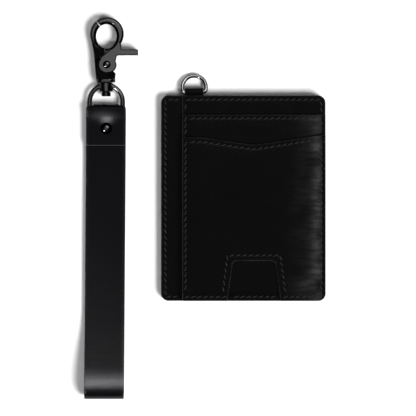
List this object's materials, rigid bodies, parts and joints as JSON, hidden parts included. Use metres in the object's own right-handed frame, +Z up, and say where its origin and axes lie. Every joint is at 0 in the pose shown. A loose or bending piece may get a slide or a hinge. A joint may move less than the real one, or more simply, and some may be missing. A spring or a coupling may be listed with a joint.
{
  "type": "card wallet with wrist strap",
  "caption": "Slim black leather card wallet with stitched front pockets, a thumb window and a small D-ring, beside a flat leather wrist strap with a swivel snap hook.",
  "frame": {"origin": "centre of the set's footprint, on the surface that the wallet and the strap lie on", "axes": "+Y from the foot of the strap to the tip of its snap hook, +X from the strap to the wallet, +Z up out of the fronts"},
  "size_m": [0.1164, 0.186, 0.0095],
  "materials": {
    "wallet_leather": "smooth, low sheen",
    "strap_leather": "smooth, satin",
    "thread": "waxed polyester thread",
    "lining_cloth": "fine twill",
    "black_nickel": "polished black nickel plate",
    "polished_nickel": "polished nickel plate",
    "spring_steel": "bright drawn wire"
  },
  "bodies": {
    "wallet": {"back_pocket_panel": "wallet_leather", "back_panel": "wallet_leather", "back_lining": "lining_cloth", "front_lining": "lining_cloth", "front_base_panel": "wallet_leather", "pocket_backing_panel": "wallet_leather", "upper_slot_panel": "wallet_leather", "front_pocket_panel": "wallet_leather", "ring_tab": "wallet_leather", "perimeter_thread": "thread", "panel_thread": "thread", "slot_thread": "thread", "pocket_thread": "thread", "window_thread": "thread", "back_thread": "thread", "back_pocket_thread": "thread"},
    "wallet_ring": {"wallet_ring": "polished_nickel"},
    "strap": {"strap_leather": "strap_leather", "rivet_cap": "black_nickel", "rivet_post": "black_nickel"},
    "swivel_eye": {"swivel_eye": "black_nickel"},
    "hook": {"hook_body": "black_nickel", "swivel_pin": "black_nickel", "pivot_rivet": "black_nickel", "gate_spring": "spring_steel"},
    "gate": {"gate_lever": "black_nickel"}
  },
  "joints": [
    {"name": "ring_swing", "type": "hinge", "parent": "wallet", "child": "wallet_ring", "pos_m": [-0.00568, 0.05665, 0.0033], "axis": [1, 0, 0], "range_deg": [-80, 110]},
    {"name": "strap_lift", "type": "slide", "parent": "wallet", "child": "strap", "axis": [0, 0, 1], "range_m": [0, 0.1]},
    {"name": "eye_swing", "type": "hinge", "parent": "strap", "child": "swivel_eye", "pos_m": [-0.04852, 0.04802, 0.0034], "axis": [1, 0, 0], "range_deg": [-58, 10]},
    {"name": "hook_swivel", "type": "hinge", "parent": "swivel_eye", "child": "hook", "pos_m": [-0.04852, 0.06107, 0.0034], "axis": [0, 1, 0], "continuous": true},
    {"name": "gate_open", "type": "hinge", "parent": "hook", "child": "gate", "pos_m": [-0.04818, 0.06982, 0.0034], "axis": [0, 0, -1], "range_deg": [0, 28], "stiffness_Nm_per_rad": 0.02, "springref_deg": -28.65, "deforming": ["gate_spring"]}
  ]
}
